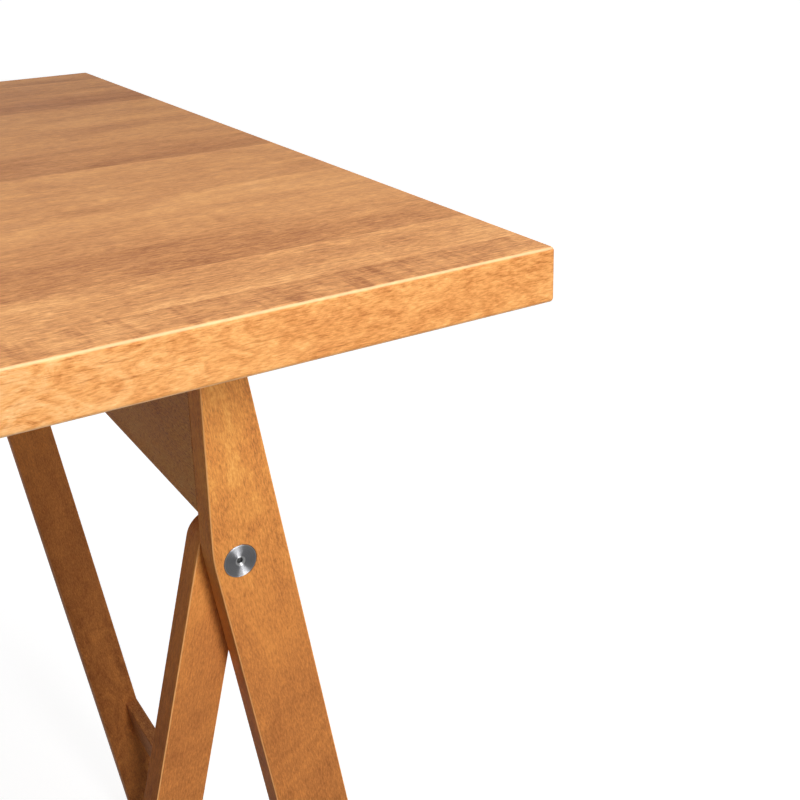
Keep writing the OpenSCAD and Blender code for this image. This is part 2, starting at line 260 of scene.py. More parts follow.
    def set(self, **values: object) -> None:
        """Sets or links the shader's sockets, named with underscores for spaces."""
        for key, value in values.items():
            self.feed(self.shader.inputs[key.replace("_", " ")], value)

    def lacquered(self, colour: Socket, fibres: Socket, streaks: Socket, gloss: float) -> None:
        """Gives the shader the colour of wood under a thin lacquer that shows its fibres.

        Args:
            colour: the wood's colour.
            fibres: the noise of its short fibres.
            streaks: the noise of its long streaks.
            gloss: the lacquer's specular level.
        """
        self.set(Base_Color=colour, Roughness=self.span(streaks, 0.3, 0.7, 0.56, 0.68),
                 Specular_IOR_Level=gloss)
        self.relief(self.times_plus(fibres, 0.6, self.times(streaks, 0.4)), 0.12 * MM)


@dataclass(frozen=True)
class EdgeFace:
    """Long edges' faces: a curled figure, palest halfway along the near edge.

    The spans over X and Y, in metres, keep the painted light to the right half of that edge:
    a pale painted sheen over the figure, palest halfway along, and a level painted lightest
    at its left and darker towards the corner.
    """

    # Brighter than the top's ramp: partly the edge's own colour, partly painted light on the
    # face turned to the lamps
    stops: Stops = (
        (0.0, (0.400, 0.120, 0.026)),
        (0.3, (0.620, 0.235, 0.056)),
        (0.55, (0.780, 0.345, 0.098)),
        (0.8, (0.880, 0.445, 0.152)),
        (1.0, (0.950, 0.580, 0.260)),
    )
    # Painted sheen: a pale colour laid over the figure on the near edge
    pale: Colour = (0.930, 0.700, 0.420)
    wave: Pattern = Pattern((44.0, 44.0, 84.0), 4.0, 0.62, 2.4)
    blotch: Pattern = Pattern((120.0, 120.0, 360.0), 3.0, 0.66, 1.3)
    fine: Pattern = Pattern((300.0, 1500.0, 1500.0), 2.0, 0.75)
    hairs: Pattern = Pattern((70.0, 70.0, 1100.0), 2.0, 0.6, 1.2)
    broad: Pattern = Pattern((9.0, 20.0, 36.0))
    right_half: Span = (0.0, 0.25)
    near_half: Span = (0.0, -0.1)
    # Painted light: the near edge's level, lightest at its left and darker towards the corner
    plain_level: float = 0.58
    painted_light_level: Span = (0.30, 0.66, 0.92, 0.475)
    hair_gain: Span = (0.55, 0.70, -0.30, -0.10)
    painted_sheen_share: Span = (0.30, 0.62, 0.50, 0.0)

    def colour(self, g: Graph, own: Socket, x: Socket, y: Socket) -> Socket:
        """Returns the face's colour.

        Args:
            g: the material's graph.
            own: the place, moved by stave.
            x: the place along the table.
            y: the place across the table.
        """
        wave, blotch, fine, hairs, broad = (g.noise(own, pattern) for pattern in (
            self.wave, self.blotch, self.fine, self.hairs, self.broad))
        # Where the painted light and sheen go: the right half of the near edge
        painted_light_part = g.times(g.span(x, *self.right_half), g.span(y, *self.near_half))
        level = g.times_plus(painted_light_part, g.minus(g.span(x, *self.painted_light_level), self.plain_level),
                             self.plain_level)
        level = g.layered(level, ((wave, 0.96), (blotch, 0.36), (fine, 1.05), (broad, 0.45)))
        level = g.times_plus(g.span(hairs, 0.54, 0.70), g.span(x, *self.hair_gain), level)
        # Painted sheen over the figure
        pale = g.times(g.times(painted_light_part, g.span(x, *self.painted_sheen_share)), g.span(wave, 0.40, 0.60))
        return g.blend(pale, g.ramp(level, self.stops), self.pale)


@dataclass(frozen=True)
class EndGrain:
    """Staves' ends: growth rings about a heart that lies elsewhere for every stave."""

    sway: float = 14.0 * MM
    heart_z: float = 737.0 * MM
    heart_swing: float = 45.0 * MM
    ring_rate: float = 3400.0
    ring_waver: float = 9.0
    waver: Pattern = Pattern((90.0, 90.0, 1.0))
    pores: Pattern = Pattern((2600.0, 2600.0, 1.0), 1.0)

    def level(self, g: Graph, y: Socket, z: Socket, number: Socket) -> Socket:
        """Returns the level on the wood's ramp.

        Args:
            g: the material's graph.
            y: the place across the table.
            z: the height.
            number: the stave's number, whose sines place the heart.
        """
        middle = g.times_plus(number, STAVE, FIRST_JOINT - 0.5 * STAVE)
        sway = g.calc("SINE", g.times(number, 2.4))
        across = g.times_plus(sway, self.sway, g.minus(y, middle))
        swing = g.calc("SINE", g.times(number, 5.1))
        up = g.minus(z, g.times_plus(swing, self.heart_swing, self.heart_z))
        spot = g.joined(across, up, 0.0)
        waver, pores = g.noise(spot, self.waver), g.noise(spot, self.pores)
        rings = g.calc("SINE", g.times_plus(g.distance(across, up), self.ring_rate,
                                            g.times(waver, self.ring_waver)))
        return g.layered(g.times_plus(rings, 0.06, 0.42), ((pores, 0.35), (waver, 0.4)))


@dataclass(frozen=True)
class StavedTop:
    """Honey-stained maple staves under a clear satin lacquer: tabletop."""

    stops: Stops = (
        (0.0, (0.290, 0.100, 0.034)),
        (0.3, (0.460, 0.188, 0.068)),
        (0.55, (0.620, 0.282, 0.106)),
        (0.8, (0.760, 0.372, 0.142)),
        (1.0, (0.880, 0.484, 0.206)),
    )
    # Painted highlight: a pale cream line on a narrow band of the eased edges, where a highlight
    # falls
    arris_highlight: Colour = (0.980, 0.760, 0.470)
    arris_highlight_share: float = 0.45
    # Each stave's own tone; the far staves are also set darker, painted shade for the light
    # falling off across the top
    tones_and_far_shade: Tuple[float, ...] = (0.58, 0.80, 0.26, 0.52, 0.76, 0.62, 0.66, 0.21,
                                0.38, 0.52, 0.46, 0.42, 0.03, 0.12, 0.28, 0.34)
    bands: Pattern = Pattern((5.0, 30.0, 50.0), 3.0, 0.55, 0.8)
    cloud: Pattern = Pattern((16.0, 34.0, 34.0), 4.0, 0.66, 1.0)
    streaks: Pattern = Pattern((40.0, 420.0, 420.0), 4.0, 0.76)
    fibres: Pattern = Pattern((150.0, 760.0, 760.0), 3.0, 0.8)
    curl: Pattern = Pattern((60.0, 140.0, 140.0), 5.0, 0.75, 1.8)
    dashes: Pattern = Pattern((90.0, 900.0, 900.0), 1.0)
    ripple: Pattern = Pattern((190.0, 26.0, 26.0), 3.0, 0.62, 0.5)
    ripple_turn: Triple = (0.0, 0.0, -7.0)
    patches: Pattern = Pattern((17.0, 20.0, 20.0))
    side_face: Span = (TOP_WIDTH / 2 - 1.4 * MM, TOP_WIDTH / 2 - 0.5 * MM)
    end_face: Span = (TOP_LENGTH / 2 - 1.2 * MM, TOP_LENGTH / 2 - 0.4 * MM)
    near_stave: Span = (FIRST_JOINT + 0.3 * MM, FIRST_JOINT - 0.3 * MM)
    contrast: Span = (-0.30, -0.16, 1.15, 0.70)

    def build(self) -> bpy.types.Material:
        """Returns the material: stave tones, painted shade and highlight, fibres, figure, edge
        and end grain.
        """
        g = Graph(bpy.data.materials.new("honey_maple_staves"))
        place = g.place()
        x, y, z = g.parts(place)
        count = len(self.tones_and_far_shade)
        share = g.calc("DIVIDE", g.minus(y, FIRST_JOINT - STAVE), STAVE * count)
        tone = g.ramp(share, [(i / count, (t, t, t)) for i, t in enumerate(self.tones_and_far_shade)],
                      steps=True)
        number = g.calc("FLOOR", g.times(share, float(count)))
        own = g.vectors("ADD", place, g.joined(g.times(number, 3.7), 0.0, g.times(number, 1.3)))
        bands, cloud, streaks, fibres, curl, dashes, patches = (
            g.noise(own, pattern) for pattern in (
                self.bands, self.cloud, self.streaks, self.fibres, self.curl, self.dashes,
                self.patches))

        ripple = g.noise(g.turned(own, self.ripple_turn), self.ripple)
        allowed = g.times_plus(g.span(y, *self.near_stave), 0.85, 0.15)
        figure = g.times(g.span(ripple, 0.44, 0.70),
                         g.times(g.span(patches, 0.30, 0.54), allowed))
        marks = g.layered(g.times(g.span(dashes, 0.64, 0.74), -0.16),
                          ((cloud, 0.80), (streaks, 0.60), (fibres, 1.40), (curl, 0.75)))
        level = g.layered(g.times_plus(tone, 0.42, 0.35), ((bands, 0.75),))
        level = g.times_plus(marks, g.span(y, *self.contrast), level)
        level = g.times_plus(figure, -0.29, level)

        side = g.span(g.calc("ABSOLUTE", y), *self.side_face)
        end = g.span(g.calc("ABSOLUTE", x), *self.end_face)
        colour = g.blend(side, g.ramp(level, self.stops), EdgeFace().colour(g, own, x, y))
        colour = g.blend(end, colour, g.ramp(EndGrain().level(g, y, z, number), self.stops))
        # Paints the highlight along the eased edges
        colour = g.blend(g.times(g.eased(2, 0.35, 0.65), self.arris_highlight_share), colour, self.arris_highlight)
        g.lacquered(colour, fibres, streaks, gloss=0.13)
        return g.owner


@dataclass(frozen=True)
class LegWood:
    """Honey-stained maple under a clear satin lacquer: legs, rails and stretchers.

    The spans, in metres, say how a share changes across the table, or a level or a gain with
    the height, as the photo's legs do under the tabletop. The levels with the height are painted
    light and shade: lighter under the tabletop, darker below the knees and low on the far legs,
    and a painted floor bounce that lightens the feet, mostly the near ones.
    """

    grain: Grain
    tint: Colour = (1.0, 1.0, 1.0)
    grit: float = 1.0
    stops: Stops = (
        (0.0, (0.260, 0.084, 0.022)),
        (0.3, (0.520, 0.184, 0.048)),
        (0.5, (0.700, 0.262, 0.062)),
        (0.75, (0.840, 0.365, 0.086)),
        (1.0, (0.930, 0.490, 0.135)),
    )
    # Painted highlight along the eased edges, full on the near legs
    arris_highlight: Colour = (0.940, 0.480, 0.175)
    bands: Pattern = Pattern((4.0, 60.0, 60.0), 3.0, 0.55, 0.5)
    cloud: Pattern = Pattern((40.0, 80.0, 80.0), 3.0, 0.62, 1.5)
    haze: Pattern = Pattern((12.0, 30.0, 30.0), 3.0, 0.55, 1.2)
    streaks: Pattern = Pattern((60.0, 700.0, 700.0), 3.0, 0.7)
    fibres: Pattern = Pattern((380.0, 1400.0, 1400.0), 3.0, 0.78)
    dashes: Pattern = Pattern((140.0, 950.0, 950.0), 1.0)
    flame: Pattern = Pattern((120.0, 26.0, 26.0), 2.0, 0.55, 0.8)
    flame_turn: Triple = (0.0, 24.0, 0.0)
    # Share for the near legs' flame figure and their painted highlight
    near_share: Span = (-0.10, 0.20, 1.0, 0.30)
    far_share: Span = (0.0, 0.20)
    flame_gain: Span = (0.62, 0.45, 0.10, 0.60)
    far_cloud_gain: Span = (0.34, 0.20, 0.0, 0.70)
    # Painted light and shade with the height: lighter tops, darker knees, lighter tops and
    # darker feet on the far legs, and a painted floor bounce at the near feet
    top_painted_light: Span = (0.66, 0.50, 0.335, 0.05)
    knee_painted_shade: Span = (0.54, 0.42, 0.0, -0.07)
    far_painted_light_shade: Span = (0.50, 0.30, 0.11, -0.03)
    foot_painted_bounce: Span = (0.34, 0.14, 0.0, 0.20)
    foot_bounce_share: Span = (0.0, 0.20, 1.0, 0.20)
    contrast: Span = (0.67, 0.56, 1.10, 0.58)

    def build(self) -> bpy.types.Material:
        """Returns the material, its fibres running as the piece's grain does."""
        g = Graph(bpy.data.materials.new("honey_maple_" + self.grain.name.lower()))
        place = g.place()
        _, across, height = g.parts(place)
        along = g.turned(place, self.grain.value)
        bands, cloud, haze, streaks, fibres, dashes = (g.noise(along, pattern) for pattern in (
            self.bands, self.cloud, self.haze, self.streaks, self.fibres, self.dashes))
        flame = g.noise(g.turned(along, self.flame_turn), self.flame)
        near, far = g.span(across, *self.near_share), g.span(across, *self.far_share)

        # Painted light and shade down the legs
        painted_light_base = g.calc("ADD", g.span(height, *self.top_painted_light),
                        g.span(height, *self.knee_painted_shade))
        painted_light_base = g.times_plus(far, g.span(height, *self.far_painted_light_shade), painted_light_base)
        painted_light_base = g.times_plus(g.span(height, *self.foot_painted_bounce),
                              g.span(across, *self.foot_bounce_share), painted_light_base)
        cloud_gain = g.times_plus(far, g.span(height, *self.far_cloud_gain), 0.36)
        flame_gain = g.times(g.span(height, *self.flame_gain), near)
        marks = g.layered(g.times(g.span(dashes, 0.62, 0.68), -0.08), (
            (bands, 0.50), (haze, 0.50), (cloud, cloud_gain), (streaks, 0.34),
            (fibres, 1.40 * self.grit), (flame, flame_gain)))
        level = g.times_plus(marks, g.span(height, *self.contrast),
                             g.calc("ADD", painted_light_base, 0.25))

        stops = [(spot, tuple(c * t for c, t in zip(colour, self.tint)))
                 for spot, colour in self.stops]
        # Paints the highlight along the eased edges, mostly on the near legs
        colour = g.blend(g.times(g.eased(1), near), g.ramp(level, stops), self.arris_highlight)
        g.lacquered(colour, fibres, streaks, gloss=0.06)
        return g.owner


@dataclass(frozen=True)
class DowelWood:
    """Plain beech, turned: dowels and pegs."""

    stops: Stops = (
        (0.0, (0.42, 0.26, 0.13)),
        (0.5, (0.62, 0.43, 0.25)),
        (1.0, (0.74, 0.56, 0.36)),
    )
    streaks: Pattern = Pattern((700.0, 60.0, 160.0), 3.0, 0.6)
    flecks: Pattern = Pattern((1600.0, 320.0, 520.0), 1.0)

    def build(self) -> bpy.types.Material:
        """Returns the material with the short dark flecks of beech."""
        g = Graph(bpy.data.materials.new("plain_beech"))
        place = g.place()
        streaks = g.noise(place, self.streaks)
        flecks = g.span(g.noise(place, self.flecks), 0.62, 0.72)
        level = g.minus(streaks, g.times(flecks, 0.3))
        g.set(Base_Color=g.ramp(level, self.stops), Roughness=0.62)
        g.relief(streaks, 0.1 * MM)
        return g.owner


@dataclass(frozen=True)
class TurnedSteel:
    """Lathe-turned stainless steel: pivot discs, screws and stop pins.

    The rings are bands of their own grey: inner and outer radius in metres, and the grey.
    Brighter bands on the socket's chamfer and the rim are painted highlights, and the nearly
    black socket is painted shade.
    """

    # Dark greys: a painted reflection, standing in for the dark surroundings that the turned
    # face mirrors
    stops: Stops = ((0.3, (0.080, 0.080, 0.084)), (0.7, (0.155, 0.155, 0.160)))
    marks: Pattern = Pattern((5200.0, 1.0, 1.0), 2.0, 0.7)
    smudge: Pattern = Pattern((260.0, 260.0, 1.0))
    # Painted highlights on the socket's chamfer and the rim, and painted shade deep in the
    # socket
    rings: Tuple[Triple, ...] = ((1.50 * MM, 2.35 * MM, 0.28), (7.50 * MM, 7.80 * MM, 0.20),
                                 (-1.0 * MM, 1.36 * MM, 0.02))
    soft: float = 0.12 * MM

    def build(self) -> bpy.types.Material:
        """Returns the material with turning marks about the pivot axis."""
        g = Graph(bpy.data.materials.new("turned_steel"))
        x, _, z = g.parts(g.place())
        out, up = g.minus(g.calc("ABSOLUTE", x), PIVOT_X), g.minus(z, PIVOT_Z)
        radius = g.distance(out, up)
        marks = g.noise(g.joined(radius, 0.0, 0.0), self.marks)
        smudge = g.noise(g.joined(out, up, 0.0), self.smudge)
        tint = g.ramp(marks, self.stops)
        # Paints the highlight and shade rings
        for low, high, grey in self.rings:
            share = g.times(g.span(radius, low - self.soft, low + self.soft),
                            g.span(radius, high + self.soft, high - self.soft))
            tint = g.blend(share, tint, (grey,) * 3)
        around = g.node("ShaderNodeTangent", direction_type="UV_MAP", uv_map="around")
        g.set(Base_Color=tint, Metallic=1.0, Anisotropic=1.0, Anisotropic_Rotation=0.25,
              Tangent=around.outputs["Tangent"], Roughness=g.span(smudge, 0.3, 0.7, 0.38, 0.46))
        g.relief(marks, 0.02 * MM)
        return g.owner


@dataclass(frozen=True)
class DarkPlastic:
    """Moulded dark plastic: washers and glides."""

    stops: Stops = ((0.3, (0.030, 0.030, 0.032)), (0.8, (0.062, 0.061, 0.060)))
    grain: Pattern = Pattern((2400.0, 2400.0, 2400.0), 2.0, 0.6)
    scuffs: Pattern = Pattern((180.0, 180.0, 90.0), 3.0, 0.7)

    def build(self) -> bpy.types.Material:
        """Returns the material with a fine moulded grain."""
        g = Graph(bpy.data.materials.new("moulded_dark_plastic"))
        place = g.place()
        scuffs = g.noise(place, self.scuffs)
        g.set(Base_Color=g.ramp(scuffs, self.stops),
              Roughness=g.span(scuffs, 0.3, 0.7, 0.48, 0.66))
        g.relief(g.noise(place, self.grain), 0.05 * MM)
        return g.owner


@dataclass
class Shell:
    """Closed surface made of rings of points.

    Every ring is joined to the next one, point by point. A looped shell joins its last ring
    to the first, and any other one closes its end rings with flat faces.
    """

    rings: np.ndarray
    looped: bool = False

    def __post_init__(self) -> None:
        """Joins the rings, and turns the surface the right way out."""
        count, size = self.rings.shape[:2]
        j, i = np.meshgrid(np.arange(size), np.arange(count if self.looped else count - 1))
        on, over = (j + 1) % size, (i + 1) % count
        self.points = self.rings.reshape(-1, 3)
        self.quads = np.stack([i * size + j, i * size + on, over * size + on,
                               over * size + j], axis=-1).reshape(-1, 4)
        u = np.stack([j, j + 1, j + 1, j], axis=-1) / size
        v = np.stack([i, i, i + 1, i + 1], axis=-1) / count
        self.spread = np.stack([u, v], axis=-1).reshape(-1, 4, 2)
        self.caps = [] if self.looped else [np.arange(size)[::-1],
                                            np.arange(size) + (count - 1) * size]
        if self.volume() < 0.0:
            self.quads = self.quads[:, ::-1]
            self.spread = self.spread[:, ::-1]
            self.caps = [cap[::-1] for cap in self.caps]

    def volume(self) -> float:
        """Returns the enclosed volume, which is negative if the faces point inwards.

        A triangle's share is the determinant of its three corners, divided by six.
        """
        fans = [np.stack([np.full(len(cap) - 2, cap[0]), cap[1:-1], cap[2:]], axis=-1)
                for cap in self.caps]
        corners = self.points[np.concatenate([self.quads[:, :3], self.quads[:, [0, 2, 3]]]
                                             + fans)]
        return float(np.linalg.det(corners).sum() / 6.0)


def make(name: str, shells: Sequence[Shell], crease: float = 32.0) -> bpy.types.Object:
    """Makes one object of closed shells, smooth but for its sharp edges.

    Args:
        name: the object's name.
        shells: its shells.
        crease: angle between faces above which their edge is sharp, in degrees.

    Returns:
        The object.
    """
    points = np.concatenate([shell.points for shell in shells])
    faces: List[List[int]] = []
    spread: List[np.ndarray] = []
    base = 0
    for shell in shells:
        faces += (shell.quads + base).tolist() + [(cap + base).tolist() for cap in shell.caps]
        spread.append(shell.spread.reshape(-1, 2))
        spread += [np.zeros((len(cap), 2)) for cap in shell.caps]
        base += len(shell.points)
    mesh = bpy.data.meshes.new(name)
    mesh.from_pydata(points.tolist(), [], faces)
    layer = mesh.uv_layers.new(name="around")
    layer.data.foreach_set("uv", np.concatenate(spread).astype(np.float32).ravel())
    mesh.shade_smooth()
    mesh.set_sharp_from_angle(angle=math.radians(crease))
    mesh.validate()
    item = bpy.data.objects.new(name, mesh)
    bpy.context.scene.collection.objects.link(item)
    return item


def coat(item: bpy.types.Object, material: bpy.types.Material) -> None:
    """Gives an object one material in all its slots."""
    if item.material_slots:
        for slot in item.material_slots:
            slot.material = material
    else:
        item.data.materials.append(material)


def stand_for(node: str, way: str, shells: Sequence[Shell], body: str,
              material: bpy.types.Material) -> None:
    """Makes a finished piece in the place of a node.

    Args:
        node: the node that it stands for.
        way: the last word of its name, which says how it is made.
        shells: its shells.
        body: the body that it rides on.
        material: its finish.
    """
    item = make(f"{node}_{way}", shells)
    coat(item, material)
    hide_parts(node)
    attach(item, body)
    LOG.info("%s: %d faces", item.name, len(item.data.polygons))


def quarter(steps: int) -> np.ndarray:
    """Returns angles from 0 to a right angle, in radians."""
    return np.linspace(0.0, math.pi / 2, steps + 1)


@dataclass
class Tabletop:
    """Glued tabletop of sixteen staves with rounded outside edges.

    A guard is a narrow row of faces beside a rounding, which keeps the flat face flat.
    """

    thick: float = 25.5 * MM
    ease: float = 2.0 * MM
    guard: float = 0.6 * MM
    least_swell: float = 0.02
    step: float = 0.1 * MM
    holed: Tuple[int, ...] = (6, 11)

    def joint(self, number: int) -> float:
        """Returns where a stave's far side lies across the tabletop."""
        return round((FIRST_JOINT + (number - 1) * STAVE) / self.step) * self.step

    def stave(self, number: int) -> Shell:
        """Returns the surface of a stave, counted from the near side.

        Its section is carried along the tabletop. At an angle a of the rounding with the
        radius r, it lies r (1 - sin a) inside the end and is itself rounded by r cos a.
        """
        r, guard, turn = self.ease, self.guard, quarter(6)
        place = TOP_LENGTH / 2 - r + r * np.sin(turn)
        swell = np.maximum(r * np.cos(turn), self.least_swell * r)
        along = np.concatenate([-place[::-1], [guard - place[0], place[0] - guard], place])
        size = np.concatenate([swell[::-1], [r, r], swell])[:, None]
        near = -TOP_WIDTH / 2 if number == 1 else self.joint(number - 1)
        loops = []
        for out, up in ((1, -1), (1, 1), (-1, 1), (-1, -1)):
            edge = self.joint(number) if out > 0 else near
            level = TOP_HEIGHT - r if up > 0 else TOP_HEIGHT - self.thick + r
            y = edge + 0.0 * size
            z = level + up * size
            if number == (STAVES if out > 0 else 1):
                middle = edge - out * r
                y = np.concatenate([middle + out * size, middle + out * size * np.cos(turn),
                                    edge - out * (r + guard) + 0.0 * size], axis=1)
                z = np.concatenate([level - up * guard + 0.0 * size,
                                    level + up * size * np.sin(turn), z], axis=1)
                if out * up < 0:
                    y, z = y[:, ::-1], z[:, ::-1]
            loops.append(np.stack([y, z], axis=-1))
        section = np.concatenate(loops, axis=1)
        x = np.broadcast_to(along[:, None, None], section.shape[:2] + (1,))
        return Shell(np.concatenate([x, section], axis=-1))

    def build(self, nodes: Dict[str, bpy.types.Object]) -> None:
        """Makes and finishes the staves. Those with peg holes keep their solid's shape.

        Args:
            nodes: the frame's nodes by name.
        """
        wood = StavedTop().build()
        for number in range(1, STAVES + 1):
            node = f"top_stave_{number}"
            if number in self.holed:
                coat(nodes[node], wood)
            else:
                stand_for(node, "eased", [self.stave(number)], "tabletop", wood)
        LOG.info("tabletop: %d staves", STAVES)


@dataclass(frozen=True)
class Edge:
    """Straight side of a leg: its outward direction, its distance from the pivot, its ease."""

    across: float
    up: float
    away: float
    eased: float = 1.0


@dataclass
class LegBoard:
    """Leg board with eased edges, a bore on the pivot axis and a recess for its disc.

    Its faces are rings of rays from the pivot axis. Along a ray, a ring lies at the least
    of (distance of a side - inset) / (ray . direction of that side), over the sides that
    the ray meets.
    """

    edges: List[Edge]
    corners: List[Pair]
    inner_y: float
    recess_outside: bool
    recess_r: float
    thick: float = 15.0 * MM
    ease: float = 0.9 * MM
    guard: float = 0.4 * MM
    bore_r: float = 4.05 * MM
    recess: float = 2.5 * MM
    even_rays: int = 120

    def rays(self) -> np.ndarray:
        """Returns the rays' directions, one through every corner among them."""
        spots = np.array(self.corners)
        turns = np.concatenate([np.linspace(-math.pi, math.pi, self.even_rays, endpoint=False),
                                np.arctan2(spots[:, 1], spots[:, 0])])
        turns = np.unique(np.round(turns, 7))
        return np.stack([np.cos(turns), np.sin(turns)], axis=-1)

    def outline(self, rays: np.ndarray, inset: float) -> np.ndarray:
        """Returns the outline's distance along every ray, set in by a distance."""
        sides = np.array([(e.across, e.up) for e in self.edges])
        away = np.array([e.away - inset * e.eased for e in self.edges])
        meets = rays @ sides.T
        reach = np.where(meets > 1e-6, away / np.maximum(meets, 1e-6), np.inf)
        return reach.min(axis=1)

    def shell(self, side: int, end: int) -> Shell:
        """Returns the board's surface at the far (1) or near (-1) side of one end."""
        rays, turn, thick = self.rays(), quarter(4), self.thick
        inset = self.ease * (1.0 - np.cos(turn))
        lift = self.ease * (1.0 - np.sin(turn))
        inner = self.ease + self.guard
        low_r, high_r, step = self.recess_r, self.bore_r, self.recess
        if self.recess_outside:
            low_r, high_r, step = self.bore_r, self.recess_r, thick - self.recess
        outside = [(inner, thick), *zip(inset[::-1], thick - lift[::-1]), (0.0, thick - inner),
                   (0.0, inner), *zip(inset, lift), (inner, 0.0)]
        bore = [(low_r + self.guard, 0.0), (low_r, 0.0), (low_r, step), (high_r, step),
                (high_r, thick), (high_r + self.guard, thick)]
        reach = [(self.outline(rays, d), w) for d, w in outside]
        reach += [(np.full(len(rays), r), w) for r, w in bore]
        return Shell(np.stack([
            np.stack([end * (PIVOT_X + far * rays[:, 0]),
                      np.full(len(rays), side * (self.inner_y + w)),
                      PIVOT_Z + far * rays[:, 1]], axis=-1)
            for far, w in reach]), looped=True)


@dataclass
class EasedBar:
    """Rail or stretcher: an eased rectangle carried across the trestle.

    A point (a, b) of the rectangle, turned by the lean t about the pivot, lies at
    a cos t - b sin t outward and a sin t + b cos t up.
    """

    low: Pair
    size: Pair
    lean: float
    half: float
    ease: float = 0.9 * MM
    guard: float = 0.4 * MM

    def shell(self, end: int) -> Shell:
        """Returns the bar's surface at the right (1) or left (-1) end."""
        r = self.ease
        loop = []
        for spin, (right, top) in enumerate(((1, 0), (1, 1), (0, 1), (0, 0))):
            middle = np.array([self.low[0] + (self.size[0] - r if right else r),
                               self.low[1] + (self.size[1] - r if top else r)])
            turn = quarter(4) + (spin - 1) * math.pi / 2
            points = middle + r * np.stack([np.cos(turn), np.sin(turn)], axis=-1)
            ahead = np.array([-math.sin(turn[0]), math.cos(turn[0])])
            behind = np.array([-math.sin(turn[-1]), math.cos(turn[-1])])
            loop += [points[:1] - self.guard * ahead, points,
                     points[-1:] + self.guard * behind]
        a, b = np.concatenate(loop).T
        t = math.radians(self.lean)
        x = PIVOT_X + a * math.cos(t) - b * math.sin(t)
        z = PIVOT_Z + a * math.sin(t) + b * math.cos(t)
        return Shell(np.stack([np.stack([end * x, np.full(len(x), y), z], axis=-1)
                               for y in (-self.half, self.half)]))


@dataclass
class TurnedPart:
    """Part turned about an axis, from rows of depth and radius in millimetres.

    A point lies at its row's depth and radius. In a hexagonal row, the radius is half the
    width across flats divided by the cosine of the angle to the nearest flat.
    """

    rows: Rows
    hexagonal: int = 0
    rays: int = 96

    def rings(self) -> Tuple[np.ndarray, np.ndarray, np.ndarray]:
        """Returns depth, and two places square to the axis, of every row's points."""
        turn = np.arange(self.rays) * 2.0 * math.pi / self.rays
        flat = 1.0 / np.cos((turn % (math.pi / 3)) - math.pi / 6)
        rows = np.array(self.rows)[:, :, None] * MM
        cut = np.arange(len(self.rows))[:, None] < self.hexagonal
        radius = rows[:, 1] * np.where(cut, flat, 1.0)
        depth = np.broadcast_to(rows[:, 0], radius.shape)
        return depth, radius * np.cos(turn), radius * np.sin(turn)

    def across(self, x: float, face_y: float, z: float, inward: float) -> Shell:
        """Returns the part with its axis across the table and its face at face_y."""
        depth, a, b = self.rings()
        return Shell(np.stack([x + a, face_y + inward * depth, z + b], axis=-1))

    def upright(self, x: float, y: float, foot_z: float) -> Shell:
        """Returns the part standing on foot_z."""
        depth, a, b = self.rings()
        return Shell(np.stack([x + a, y + b, foot_z + depth], axis=-1))


